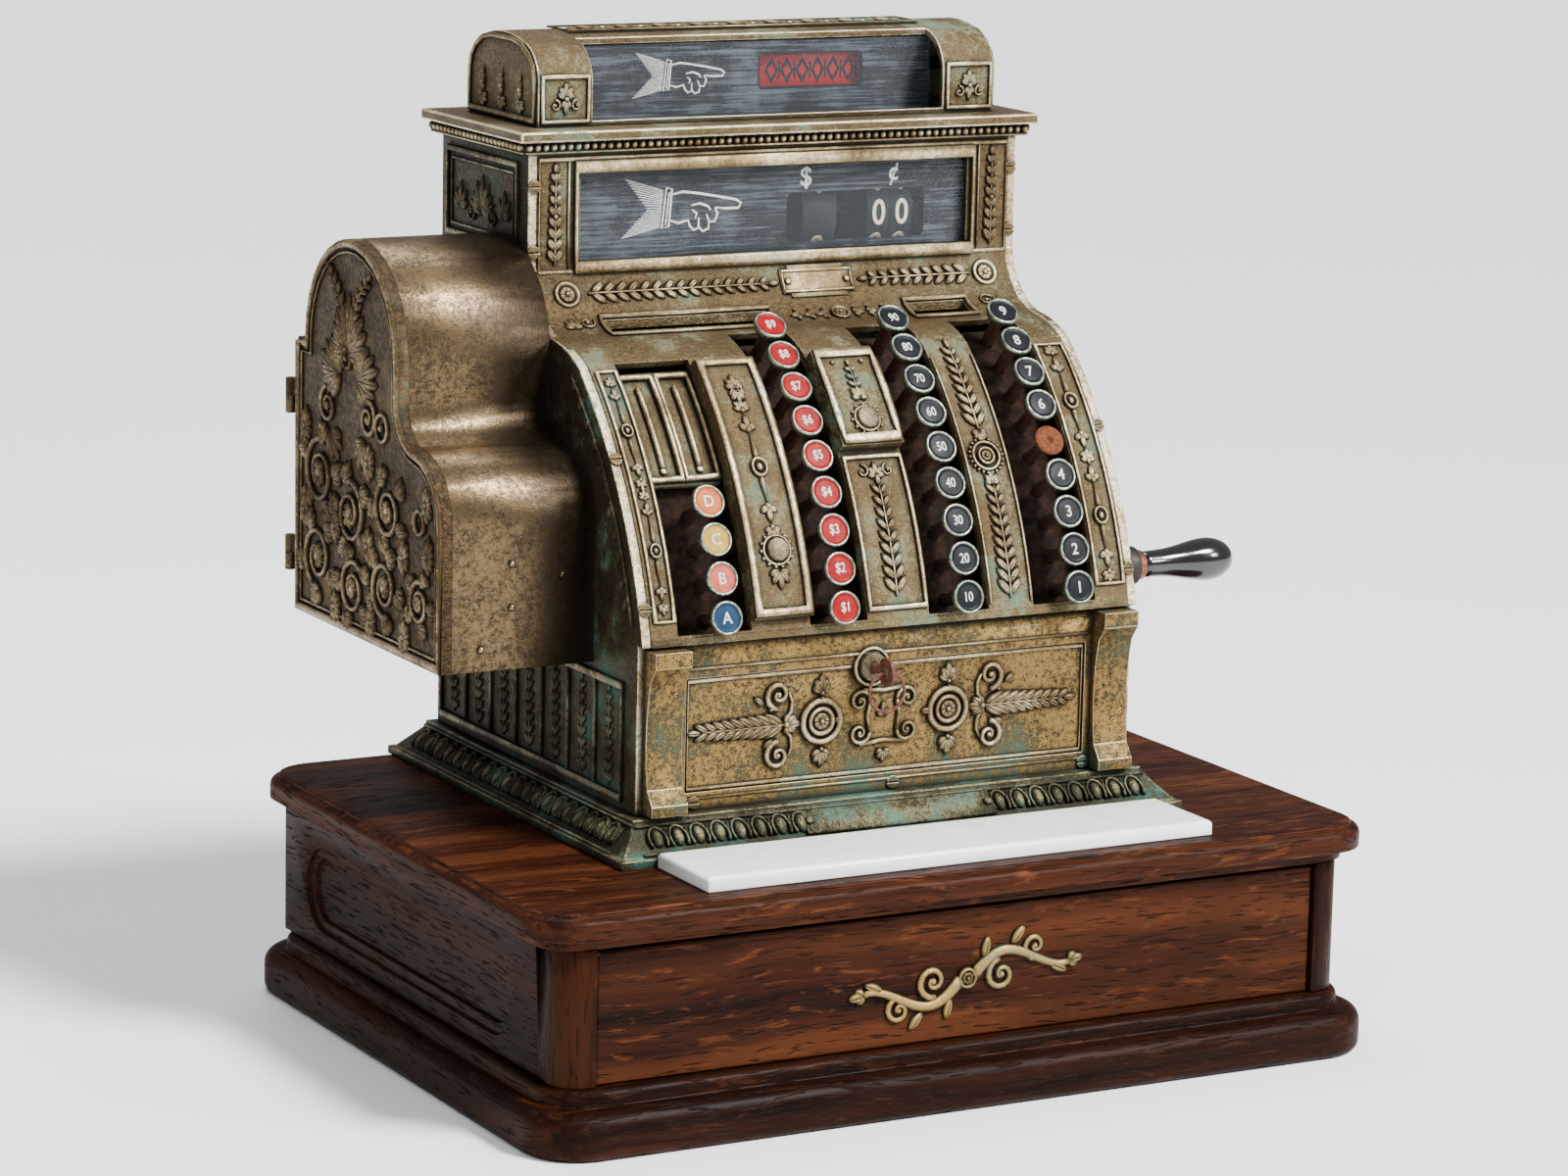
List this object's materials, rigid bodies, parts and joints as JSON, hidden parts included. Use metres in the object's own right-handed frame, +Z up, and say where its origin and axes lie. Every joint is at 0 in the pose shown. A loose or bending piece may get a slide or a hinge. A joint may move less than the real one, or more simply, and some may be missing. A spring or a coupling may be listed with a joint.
{
  "type": "crank cash register",
  "caption": "Antique crank-operated cash register: cast brass cabinet with push keys, indicator windows and side printer on an oak case with a cash drawer.",
  "frame": {"origin": "middle of the oak case's underside", "axes": "+Z up, front of the machine towards -Y, crank on the +X side"},
  "size_m": [0.522, 0.398, 0.5575],
  "materials": {
    "oak": "worn varnish",
    "till_wood": "satin",
    "marble": "polished white marble",
    "cast_brass": "aged, patinated",
    "glass": "painted black on the back",
    "steel": "dull",
    "wheel": "matt",
    "crank_metal": "worn",
    "grip": "polished black",
    "lock_metal": "dull",
    "rusty_wire": "rusty",
    "paper": "matt",
    "key_red": "glossy disc in a nickel ring",
    "key_black": "glossy disc in a nickel ring",
    "key_orange": "glossy disc in a nickel ring",
    "key_yellow": "glossy disc in a nickel ring",
    "key_pink": "faded disc in a nickel ring",
    "key_blue": "glossy disc in a nickel ring",
    "key_rust": "bare rusty disc"
  },
  "bodies": {
    "cabinet": {"drawer_case": "oak", "top_board": "oak", "marble_shelf": "marble", "base_casting": "cast_brass", "cabinet_walls": "cast_brass", "lower_front_panel": "cast_brass", "keyboard_front": "cast_brass", "upper_front_panel": "cast_brass", "cornice": "cast_brass", "sign_housing": "cast_brass", "window_panes": "glass", "main_frame": "steel", "printer_cover": "cast_brass", "printer_mechanism": "steel", "lock_barrels": "lock_metal", "cabinet_screws": "cast_brass"},
    "drawer": {"drawer_box": "oak", "till_tray": "till_wood"},
    "dollar_indicator": {"dollar_wheel": "wheel"},
    "tens_indicator": {"tens_wheel": "wheel"},
    "cents_indicator": {"cents_wheel": "wheel"},
    "transaction_sign": {"sign_drum": "wheel"},
    "printer_door": {"printer_door": "cast_brass"},
    "paper_roll": {"paper_roll": "paper"},
    "crank": {"crank_arm": "crank_metal"},
    "crank_grip": {"crank_grip": "grip"},
    "cam_shaft": {"cam_shaft": "steel"},
    "lock_key": {"lock_key": "rusty_wire"},
    "key_ring": {"key_ring": "rusty_wire"},
    "key_a": {"key_a": "key_blue"},
    "key_b": {"key_b": "key_pink"},
    "key_c": {"key_c": "key_yellow"},
    "key_d": {"key_d": "key_orange"},
    "key_dollar_1": {"key_dollar_1": "key_red"},
    "key_dollar_2": {"key_dollar_2": "key_red"},
    "key_dollar_3": {"key_dollar_3": "key_red"},
    "key_dollar_4": {"key_dollar_4": "key_red"},
    "key_dollar_5": {"key_dollar_5": "key_red"},
    "key_dollar_6": {"key_dollar_6": "key_red"},
    "key_dollar_7": {"key_dollar_7": "key_red"},
    "key_dollar_8": {"key_dollar_8": "key_red"},
    "key_dollar_9": {"key_dollar_9": "key_red"},
    "key_tens_10": {"key_tens_10": "key_black"},
    "key_tens_20": {"key_tens_20": "key_black"},
    "key_tens_30": {"key_tens_30": "key_black"},
    "key_tens_40": {"key_tens_40": "key_black"},
    "key_tens_50": {"key_tens_50": "key_black"},
    "key_tens_60": {"key_tens_60": "key_black"},
    "key_tens_70": {"key_tens_70": "key_black"},
    "key_tens_80": {"key_tens_80": "key_black"},
    "key_tens_90": {"key_tens_90": "key_black"},
    "key_cents_1": {"key_cents_1": "key_black"},
    "key_cents_2": {"key_cents_2": "key_black"},
    "key_cents_3": {"key_cents_3": "key_black"},
    "key_cents_4": {"key_cents_4": "key_black"},
    "key_cents_5": {"key_cents_5": "key_rust"},
    "key_cents_6": {"key_cents_6": "key_black"},
    "key_cents_7": {"key_cents_7": "key_black"},
    "key_cents_8": {"key_cents_8": "key_black"},
    "key_cents_9": {"key_cents_9": "key_black"}
  },
  "joints": [
    {"name": "drawer_slide", "type": "slide", "parent": "cabinet", "child": "drawer", "axis": [0, -1, 0], "range_m": [0, 0.26]},
    {"name": "dollar_indicator_turn", "type": "hinge", "parent": "cabinet", "child": "dollar_indicator", "pos_m": [0.034, 0.096, 0.4524], "axis": [1, 0, 0], "continuous": true},
    {"name": "tens_indicator_turn", "type": "hinge", "parent": "cabinet", "child": "tens_indicator", "pos_m": [0.0723, 0.096, 0.4524], "axis": [1, 0, 0], "continuous": true},
    {"name": "cents_indicator_turn", "type": "hinge", "parent": "cabinet", "child": "cents_indicator", "pos_m": [0.0873, 0.096, 0.4524], "axis": [1, 0, 0], "continuous": true},
    {"name": "transaction_sign_turn", "type": "hinge", "parent": "cabinet", "child": "transaction_sign", "pos_m": [0.042, 0.109, 0.532], "axis": [1, 0, 0], "continuous": true},
    {"name": "printer_door_swing", "type": "hinge", "parent": "cabinet", "child": "printer_door", "pos_m": [-0.249, 0.165, 0.29], "axis": [0, 0, -1], "range_deg": [0, 100]},
    {"name": "paper_roll_turn", "type": "hinge", "parent": "cabinet", "child": "paper_roll", "pos_m": [-0.193, 0.09, 0.396], "axis": [1, 0, 0], "continuous": true},
    {"name": "crank_turn", "type": "hinge", "parent": "cabinet", "child": "crank", "pos_m": [0.16, 0.045, 0.285], "axis": [-1, 0, 0], "continuous": true},
    {"name": "crank_grip_turn", "type": "hinge", "parent": "crank", "child": "crank_grip", "pos_m": [0.2, -0.06604, 0.26301], "axis": [1, 0, 0], "continuous": true},
    {"name": "cam_shaft_turn", "type": "hinge", "parent": "cabinet", "child": "cam_shaft", "pos_m": [0, 0.0825, 0.22005], "axis": [-1, 0, 0], "continuous": true},
    {"name": "lock_key_turn", "type": "hinge", "parent": "cabinet", "child": "lock_key", "pos_m": [-0.012, -0.095, 0.224], "axis": [0, -1, 0], "range_deg": [0, 90]},
    {"name": "key_ring_swing", "type": "hinge", "parent": "lock_key", "child": "key_ring", "pos_m": [-0.012, -0.105, 0.224], "axis": [1, 0, 0], "range_deg": [-90, 35]},
    {"name": "key_a_press", "type": "slide", "parent": "cabinet", "child": "key_a", "axis": [0, 0.9659, -0.2588], "range_m": [0, 0.007], "stiffness_N_per_m": 180, "springref_m": -0.006},
    {"name": "key_b_press", "type": "slide", "parent": "cabinet", "child": "key_b", "axis": [0, 0.943, -0.3327], "range_m": [0, 0.007], "stiffness_N_per_m": 180, "springref_m": -0.006},
    {"name": "key_c_press", "type": "slide", "parent": "cabinet", "child": "key_c", "axis": [0, 0.9145, -0.4045], "range_m": [0, 0.007], "stiffness_N_per_m": 180, "springref_m": -0.006},
    {"name": "key_d_press", "type": "slide", "parent": "cabinet", "child": "key_d", "axis": [0, 0.8806, -0.4739], "range_m": [0, 0.007], "stiffness_N_per_m": 180, "springref_m": -0.006},
    {"name": "key_dollar_1_press", "type": "slide", "parent": "cabinet", "child": "key_dollar_1", "axis": [0, 0.9659, -0.2588], "range_m": [0, 0.007], "stiffness_N_per_m": 180, "springref_m": -0.006},
    {"name": "key_dollar_2_press", "type": "slide", "parent": "cabinet", "child": "key_dollar_2", "axis": [0, 0.943, -0.3327], "range_m": [0, 0.007], "stiffness_N_per_m": 180, "springref_m": -0.006},
    {"name": "key_dollar_3_press", "type": "slide", "parent": "cabinet", "child": "key_dollar_3", "axis": [0, 0.9145, -0.4045], "range_m": [0, 0.007], "stiffness_N_per_m": 180, "springref_m": -0.006},
    {"name": "key_dollar_4_press", "type": "slide", "parent": "cabinet", "child": "key_dollar_4", "axis": [0, 0.8806, -0.4739], "range_m": [0, 0.007], "stiffness_N_per_m": 180, "springref_m": -0.006},
    {"name": "key_dollar_5_press", "type": "slide", "parent": "cabinet", "child": "key_dollar_5", "axis": [0, 0.8413, -0.5405], "range_m": [0, 0.007], "stiffness_N_per_m": 180, "springref_m": -0.006},
    {"name": "key_dollar_6_press", "type": "slide", "parent": "cabinet", "child": "key_dollar_6", "axis": [0, 0.7971, -0.6039], "range_m": [0, 0.007], "stiffness_N_per_m": 180, "springref_m": -0.006},
    {"name": "key_dollar_7_press", "type": "slide", "parent": "cabinet", "child": "key_dollar_7", "axis": [0, 0.748, -0.6637], "range_m": [0, 0.007], "stiffness_N_per_m": 180, "springref_m": -0.006},
    {"name": "key_dollar_8_press", "type": "slide", "parent": "cabinet", "child": "key_dollar_8", "axis": [0, 0.6945, -0.7195], "range_m": [0, 0.007], "stiffness_N_per_m": 180, "springref_m": -0.006},
    {"name": "key_dollar_9_press", "type": "slide", "parent": "cabinet", "child": "key_dollar_9", "axis": [0, 0.6369, -0.771], "range_m": [0, 0.007], "stiffness_N_per_m": 180, "springref_m": -0.006},
    {"name": "key_tens_10_press", "type": "slide", "parent": "cabinet", "child": "key_tens_10", "axis": [0, 0.9659, -0.2588], "range_m": [0, 0.007], "stiffness_N_per_m": 180, "springref_m": -0.006},
    {"name": "key_tens_20_press", "type": "slide", "parent": "cabinet", "child": "key_tens_20", "axis": [0, 0.943, -0.3327], "range_m": [0, 0.007], "stiffness_N_per_m": 180, "springref_m": -0.006},
    {"name": "key_tens_30_press", "type": "slide", "parent": "cabinet", "child": "key_tens_30", "axis": [0, 0.9145, -0.4045], "range_m": [0, 0.007], "stiffness_N_per_m": 180, "springref_m": -0.006},
    {"name": "key_tens_40_press", "type": "slide", "parent": "cabinet", "child": "key_tens_40", "axis": [0, 0.8806, -0.4739], "range_m": [0, 0.007], "stiffness_N_per_m": 180, "springref_m": -0.006},
    {"name": "key_tens_50_press", "type": "slide", "parent": "cabinet", "child": "key_tens_50", "axis": [0, 0.8413, -0.5405], "range_m": [0, 0.007], "stiffness_N_per_m": 180, "springref_m": -0.006},
    {"name": "key_tens_60_press", "type": "slide", "parent": "cabinet", "child": "key_tens_60", "axis": [0, 0.7971, -0.6039], "range_m": [0, 0.007], "stiffness_N_per_m": 180, "springref_m": -0.006},
    {"name": "key_tens_70_press", "type": "slide", "parent": "cabinet", "child": "key_tens_70", "axis": [0, 0.748, -0.6637], "range_m": [0, 0.007], "stiffness_N_per_m": 180, "springref_m": -0.006},
    {"name": "key_tens_80_press", "type": "slide", "parent": "cabinet", "child": "key_tens_80", "axis": [0, 0.6945, -0.7195], "range_m": [0, 0.007], "stiffness_N_per_m": 180, "springref_m": -0.006},
    {"name": "key_tens_90_press", "type": "slide", "parent": "cabinet", "child": "key_tens_90", "axis": [0, 0.6369, -0.771], "range_m": [0, 0.007], "stiffness_N_per_m": 180, "springref_m": -0.006},
    {"name": "key_cents_1_press", "type": "slide", "parent": "cabinet", "child": "key_cents_1", "axis": [0, 0.9659, -0.2588], "range_m": [0, 0.007], "stiffness_N_per_m": 180, "springref_m": -0.006},
    {"name": "key_cents_2_press", "type": "slide", "parent": "cabinet", "child": "key_cents_2", "axis": [0, 0.943, -0.3327], "range_m": [0, 0.007], "stiffness_N_per_m": 180, "springref_m": -0.006},
    {"name": "key_cents_3_press", "type": "slide", "parent": "cabinet", "child": "key_cents_3", "axis": [0, 0.9145, -0.4045], "range_m": [0, 0.007], "stiffness_N_per_m": 180, "springref_m": -0.006},
    {"name": "key_cents_4_press", "type": "slide", "parent": "cabinet", "child": "key_cents_4", "axis": [0, 0.8806, -0.4739], "range_m": [0, 0.007], "stiffness_N_per_m": 180, "springref_m": -0.006},
    {"name": "key_cents_5_press", "type": "slide", "parent": "cabinet", "child": "key_cents_5", "axis": [0, 0.8413, -0.5405], "range_m": [0, 0.007], "stiffness_N_per_m": 180, "springref_m": -0.006},
    {"name": "key_cents_6_press", "type": "slide", "parent": "cabinet", "child": "key_cents_6", "axis": [0, 0.7971, -0.6039], "range_m": [0, 0.007], "stiffness_N_per_m": 180, "springref_m": -0.006},
    {"name": "key_cents_7_press", "type": "slide", "parent": "cabinet", "child": "key_cents_7", "axis": [0, 0.748, -0.6637], "range_m": [0, 0.007], "stiffness_N_per_m": 180, "springref_m": -0.006},
    {"name": "key_cents_8_press", "type": "slide", "parent": "cabinet", "child": "key_cents_8", "axis": [0, 0.6945, -0.7195], "range_m": [0, 0.007], "stiffness_N_per_m": 180, "springref_m": -0.006},
    {"name": "key_cents_9_press", "type": "slide", "parent": "cabinet", "child": "key_cents_9", "axis": [0, 0.6369, -0.771], "range_m": [0, 0.007], "stiffness_N_per_m": 180, "springref_m": -0.006}
  ],
  "couplings": [
    {"joint": "cam_shaft_turn", "follows": "crank_turn", "ratio": -0.5}
  ]
}
